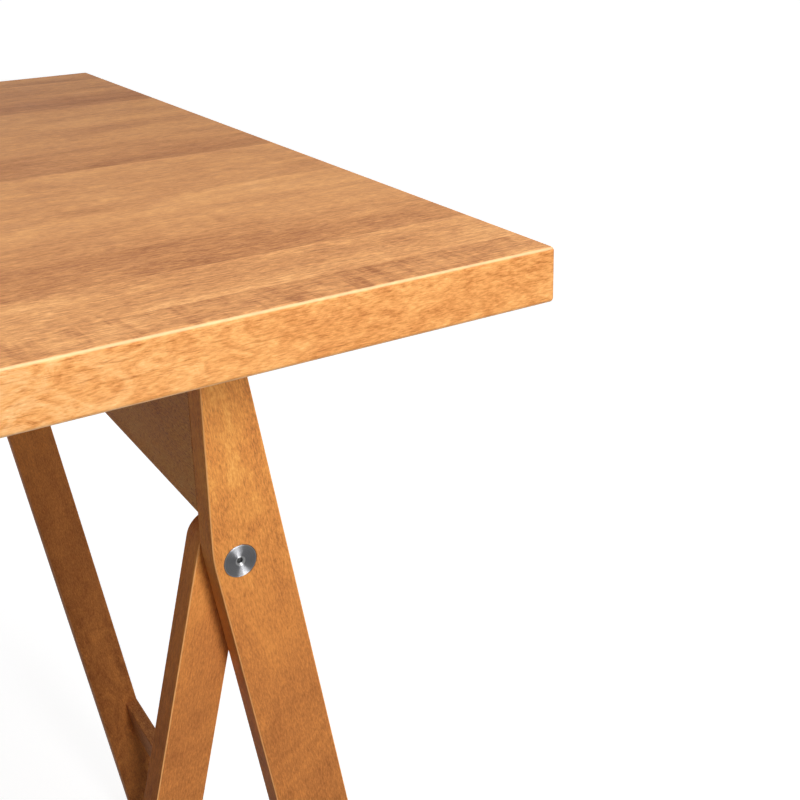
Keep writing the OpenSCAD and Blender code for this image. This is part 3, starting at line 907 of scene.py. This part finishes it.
@dataclass
class Trestle:
    """One folding trestle: two frames of two legs each, with rail, stretchers and pivots."""

    side: str
    end: int
    long_grain: Grain
    short_grain: Grain
    under_z: float = 724.5 * MM
    foot_z: float = 2.5 * MM
    long_in: float = 12.1 * MM
    long_out: float = 23.6 * MM
    short_in: float = 13.8 * MM
    short_out: float = 11.0 * MM
    bend_r: float = 80.0 * MM
    bend_sides: int = 9
    head_sides: int = 33
    rail_t: float = 15.0 * MM
    rail_h: float = 90.5 * MM
    rail_lip: float = 3.4 * MM
    stretcher_t: float = 11.1 * MM
    stretcher_h: float = 36.5 * MM
    stretcher_z: float = 157.0 * MM
    half: float = 268.0 * MM
    leg_t: float = 15.0 * MM
    washer_t: float = 0.8 * MM
    sleeve_recess_r: float = 8.15 * MM
    screw_recess_r: float = 8.3 * MM
    screw_face: float = 31.0 * MM
    peg_y: float = 108.0 * MM
    peg_depth: float = 18.0 * MM

    def __post_init__(self) -> None:
        """Works out the sizes that follow from the others."""
        self.long_y = self.half - self.leg_t
        self.short_y = self.long_y - self.washer_t - self.leg_t
        top = self.slant(LONG_LEAN, self.long_out, self.under_z - PIVOT_Z)
        self.rail_face = self.rail_t + self.rail_lip - top

    def slant(self, lean: float, off: float, up: float) -> float:
        """Returns how far out a slanted side lies at a height above the pivot."""
        t = math.radians(lean)
        return (off - up * math.sin(t)) / math.cos(t)

    def long_leg(self) -> LegBoard:
        """Returns the long leg's board: upright inside at the top, slanted below a bend."""
        t = math.radians(LONG_LEAN)
        top, foot = self.under_z - PIVOT_Z, self.foot_z - PIVOT_Z
        bend_x = self.bend_r - self.rail_face
        bend_z = (self.bend_r - self.long_in - bend_x * math.cos(t)) / math.sin(t)
        edges = [Edge(math.cos(t), math.sin(t), self.long_out),
                 Edge(0.0, 1.0, top, 0.0), Edge(0.0, -1.0, -foot)]
        for turn in np.linspace(0.0, t, self.bend_sides):
            away = self.bend_r - bend_x * math.cos(turn) - bend_z * math.sin(turn)
            edges.append(Edge(-math.cos(turn), -math.sin(turn), away))
        corners = [(-self.rail_face, top)]
        corners += [(self.slant(LONG_LEAN, off, up), up) for off, up in (
            (self.long_out, top), (self.long_out, foot), (-self.long_in, foot))]
        return LegBoard(edges, corners, self.long_y, True, self.sleeve_recess_r)

    def short_leg(self) -> LegBoard:
        """Returns the short leg's board: straight, with a round head about the pivot."""
        t = math.radians(SHORT_LEAN)
        foot = self.foot_z - PIVOT_Z
        head_r = (self.short_in + self.short_out) / 2
        shift = (self.short_in - self.short_out) / 2
        middle = (-shift * math.cos(t), shift * math.sin(t))
        edges = [Edge(0.0, -1.0, -foot)]
        for turn in np.linspace(-t, math.pi - t, self.head_sides):
            ray = (math.cos(turn), math.sin(turn))
            edges.append(Edge(*ray, head_r + ray[0] * middle[0] + ray[1] * middle[1]))
        corners = [(self.slant(-SHORT_LEAN, off, foot), foot)
                   for off in (self.short_out, -self.short_in)]
        return LegBoard(edges, corners, self.short_y, False, self.screw_recess_r)

    def bars(self) -> Dict[str, EasedBar]:
        """Returns the rail and the stretchers, by node."""
        made = {"top_rail": EasedBar(
            (-self.rail_face, self.under_z - self.rail_h - PIVOT_Z),
            (self.rail_t, self.rail_h), 0.0, self.long_y)}
        for name, lean, edge, half in (("long", LONG_LEAN, self.long_out, self.long_y),
                                       ("short", -SHORT_LEAN, -self.short_in, self.short_y)):
            t = math.radians(lean)
            top = (PIVOT_Z - self.stretcher_z + edge * math.sin(t)) / math.cos(t)
            low = edge - self.stretcher_t if edge > 0.0 else edge
            made[f"{name}_stretcher"] = EasedBar(
                (low, -top - self.stretcher_h), (self.stretcher_t, self.stretcher_h), lean, half)
        return made

    def pivots(self, rows: Rows, face: float, inward: int) -> List[Shell]:
        """Returns the two sleeves or the two screws: a disc with its barrel or shank.

        Args:
            rows: the part's rows.
            face: how far the discs' faces lie from the middle of the trestle.
            inward: 1 where the parts reach towards that middle, -1 where they reach away.
        """
        part = TurnedPart(rows, hexagonal=SOCKET_ROWS)
        return [part.across(self.end * PIVOT_X, side * face, PIVOT_Z, -side * inward)
                for side in (-1, 1)]

    def standing(self, rows: Rows, out: float, y: float, foot_z: float) -> List[Shell]:
        """Returns an upright part on each side, its axis out from the pivot and at y."""
        part = TurnedPart(rows, rays=48)
        return [part.upright(self.end * (PIVOT_X + out), side * y, foot_z)
                for side in (-1, 1)]

    def pegs(self) -> List[Shell]:
        """Returns the two locating pegs, with eased feet and rounded tops."""
        rows = [(0.0, 3.6), (0.4, 4.0), (28.4, 4.0)]
        rows += [(28.4 + 1.6 * math.sin(a), 2.4 + 1.6 * math.cos(a)) for a in quarter(4)[1:]]
        return self.standing(rows, self.rail_t / 2 - self.rail_face, self.peg_y,
                             self.under_z - self.peg_depth)

    def glides(self, lean: float, middle: float, leg_y: float) -> List[Shell]:
        """Returns the two glides of a frame, with rounded rims and plain stems.

        Args:
            lean: the legs' lean in degrees.
            middle: how far the legs' middle line lies out from the pivot axis.
            leg_y: the legs' inner face.
        """
        rows = [(0.8 * (1.0 - math.cos(a)), 5.2 + 0.8 * math.sin(a)) for a in quarter(4)]
        rows += [(2.1, 6.0), (2.5, 5.6), (2.5, 2.0), (12.1, 2.0), (12.5, 1.6)]
        return self.standing(rows, self.slant(lean, middle, self.foot_z - PIVOT_Z),
                             leg_y + self.leg_t / 2, 0.0)

    def build(self, nodes: Dict[str, bpy.types.Object],
              shop: Dict[str, bpy.types.Material]) -> None:
        """Makes the trestle's pieces and finishes all its nodes.

        Args:
            nodes: the frame's nodes by name.
            shop: the finishes that both trestles share, by slot.
        """
        long_body, short_body = f"{self.side}_long_frame", f"{self.side}_short_frame"
        for kind, board, grain, body in (
                ("long", self.long_leg(), self.long_grain, long_body),
                ("short", self.short_leg(), self.short_grain, short_body)):
            wood = LegWood(grain).build()
            for place, side in (("near", -1), ("far", 1)):
                node = f"{self.side}_{kind}_leg_{place}"
                stand_for(node, "eased", [board.shell(side, self.end)], body, wood)
        pieces = [(name, "eased", "leg_wood", [bar.shell(self.end)])
                  for name, bar in self.bars().items()]
        mid_long = (self.long_out - self.long_in) / 2
        mid_short = (self.short_out - self.short_in) / 2
        pieces += [(name, "turned", slot, shells) for name, slot, shells in (
            ("pivot_sleeves", "pivot_steel", self.pivots(SLEEVE_ROWS, self.half, 1)),
            ("pivot_screws", "pivot_steel",
             self.pivots(SCREW_ROWS, self.half - self.screw_face, -1)),
            ("locating_pegs", "dowel_wood", self.pegs()),
            ("long_glides", "dark_plastic", self.glides(LONG_LEAN, mid_long, self.long_y)),
            ("short_glides", "dark_plastic",
             self.glides(-SHORT_LEAN, mid_short, self.short_y)))]
        for name, way, slot, shells in pieces:
            body = short_body if name.startswith("short") else long_body
            stand_for(f"{self.side}_{name}", way, shells, body, shop[slot])
        for name, slot in (("rail_dowels", "dowel_wood"), ("stop_pins", "pivot_steel"),
                           ("long_stretcher_dowels", "dowel_wood"),
                           ("short_stretcher_dowels", "dowel_wood"),
                           ("pivot_washers", "dark_plastic")):
            coat(nodes[f"{self.side}_{name}"], shop[slot])
        LOG.info("%s trestle finished", self.side)


def set_up(item: bpy.types.Object, right: np.ndarray, back: np.ndarray,
           place: Triple) -> None:
    """Links a lamp or camera at a place, looking away from its back."""
    turn = np.eye(4)
    turn[:3] = np.stack([right, np.cross(back, right), back, place], axis=1)
    item.matrix_world = Matrix(turn.tolist())
    bpy.context.scene.collection.objects.link(item)


@dataclass(frozen=True)
class Lamp:
    """Soft rectangular lamp: its middle, the point it faces, its size and its power.

    A lamp for gloss only shows in gloss and lights nothing.
    """

    name: str
    place: Triple
    aim: Triple
    size: Pair
    watts: float
    gloss_only: bool = False

    def build(self) -> None:
        """Adds the lamp."""
        data = bpy.data.lights.new(self.name, "AREA")
        data.shape = "RECTANGLE"
        data.size, data.size_y = self.size
        data.energy = self.watts
        item = bpy.data.objects.new(self.name, data)
        item.visible_diffuse = not self.gloss_only
        back = np.subtract(self.place, self.aim)
        back = back / np.linalg.norm(back)
        right = np.cross((0.0, 0.0, 1.0), back)
        set_up(item, right / np.linalg.norm(right), back, self.place)


@dataclass
class Studio:
    """Pale floor, white surroundings, soft lamps and the camera."""

    floor_size: float = 60.0
    floor_grey: float = 0.36
    floor_glow: float = 0.98
    # Painted shade: the floor glows less around the table, so its cast shadow shows
    glow_dip: float = 0.12
    dip_reach: Pair = (0.7, 3.2)
    ambient: float = 0.08
    eye: Triple = (0.43464, -0.70540, 0.90190)
    yaw: float = 30.6458
    pitch: float = 17.6371
    roll: float = -1.6004
    lens: float = 53.465
    sensor: float = 36.0
    shift: Pair = (0.025, -0.175)
    clip: Pair = (0.02, 200.0)
    lamps: Tuple[Lamp, ...] = (
        Lamp("key", (0.70, -1.18, 1.17), (0.60, -0.25, 0.74), (0.25, 0.72), 11.0),
        Lamp("top", (0.55, -0.55, 2.10), (0.48, -0.10, 0.75), (1.1, 0.9), 11.5),
        Lamp("glint", (0.81, -1.20, 0.63), (0.6165, -0.268, 0.6125), (0.36, 0.18), 10.5,
             gloss_only=True),
        Lamp("left", (-1.70, -1.90, 1.20), (-0.60, 0.0, 0.50), (1.4, 1.2), 4.8),
        Lamp("right", (2.60, -0.30, 1.00), (0.60, 0.0, 0.50), (1.4, 1.2), 7.0),
        Lamp("back", (0.30, 2.50, 0.46), (0.0, 0.1, 0.42), (2.2, 0.9), 26.0),
    )

    def seen(self, g: Graph, low: float, high: float) -> Socket:
        """Returns a low strength for light and a high one for what is seen or mirrored."""
        rays = g.node("ShaderNodeLightPath").outputs
        total = rays["Is Camera Ray"]
        for name in ("Is Glossy Ray", "Is Transmission Ray"):
            total = g.calc("MAXIMUM", total, rays[name])
        return g.span(total, 0.0, 1.0, low, high)

    def surround(self) -> None:
        """Makes the white world, dimmer as a light than as a background."""
        g = Graph(bpy.data.worlds.new("studio"))
        g.set(Color=(1.0, 1.0, 1.0), Strength=self.seen(g, self.ambient, 1.0))
        bpy.context.scene.world = g.owner

    def floor(self) -> None:
        """Makes the pale floor, which keeps the object's shadow."""
        half = self.floor_size / 2
        mesh = bpy.data.meshes.new("floor")
        mesh.from_pydata([(-half, -half, 0.0), (half, -half, 0.0), (half, half, 0.0),
                          (-half, half, 0.0)], [], [(0, 1, 2, 3)])
        item = bpy.data.objects.new("floor", mesh)
        bpy.context.scene.collection.objects.link(item)
        g = Graph(bpy.data.materials.new("pale_floor"))
        g.tree.nodes.clear()
        reach = g.node("ShaderNodeVectorMath", ((0, g.place()),), operation="LENGTH")
        # Painted shade: less glow near the table
        fade = g.span(reach.outputs["Value"], *self.dip_reach, self.floor_glow - self.glow_dip,
                      self.floor_glow)
        matt = g.node("ShaderNodeBsdfDiffuse", (("Color", (self.floor_grey,) * 3),))
        glow = g.node("ShaderNodeEmission",
                      (("Strength", g.times(fade, self.seen(g, 0.0, 1.0))),))
        both = g.node("ShaderNodeAddShader", ((0, matt.outputs[0]), (1, glow.outputs[0])))
        g.node("ShaderNodeOutputMaterial", (("Surface", both.outputs[0]),))
        mesh.materials.append(g.owner)

    def camera(self) -> None:
        """Makes the camera from its yaw, pitch and roll.

        It looks along (sin yaw cos pitch, cos yaw cos pitch, -sin pitch), and the roll turns
        it about that line.
        """
        yaw, pitch, roll = (math.radians(a) for a in (self.yaw, self.pitch, self.roll))
        ahead = np.array([math.sin(yaw) * math.cos(pitch), math.cos(yaw) * math.cos(pitch),
                          -math.sin(pitch)])
        right = np.array([math.cos(yaw), -math.sin(yaw), 0.0])
        right = math.cos(roll) * right + math.sin(roll) * np.cross(right, ahead)
        data = bpy.data.cameras.new("camera")
        data.lens = self.lens
        data.sensor_width = self.sensor
        data.shift_x, data.shift_y = self.shift
        data.clip_start, data.clip_end = self.clip
        item = bpy.data.objects.new("camera", data)
        set_up(item, right, -ahead, self.eye)
        bpy.context.scene.camera = item

    def build(self) -> None:
        """Sets up the whole studio."""
        bpy.context.scene.view_settings.view_transform = "Standard"
        self.surround()
        self.floor()
        for lamp in self.lamps:
            lamp.build()
        self.camera()
        LOG.info("studio ready")


def main() -> None:
    """Builds and dresses the whole table in order."""
    logging.basicConfig(level=logging.INFO, format="%(message)s")
    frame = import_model()
    nodes = frame["nodes"]
    shop = {
        # The rails and stretchers get a greyer tint: partly their own wood, partly painted sheen
        # of their shaded faces
        "leg_wood": LegWood(Grain.ACROSS, tint=(0.83, 0.92, 1.15), grit=1.6).build(),
        "dowel_wood": DowelWood().build(),
        "pivot_steel": TurnedSteel().build(),
        "dark_plastic": DarkPlastic().build(),
    }
    Tabletop().build(nodes)
    for trestle in (Trestle("right", 1, Grain.RIGHT_LONG_LEG, Grain.RIGHT_SHORT_LEG),
                    Trestle("left", -1, Grain.LEFT_LONG_LEG, Grain.LEFT_SHORT_LEG)):
        trestle.build(nodes, shop)
    Studio().build()


if __name__ == "__main__":
    main()
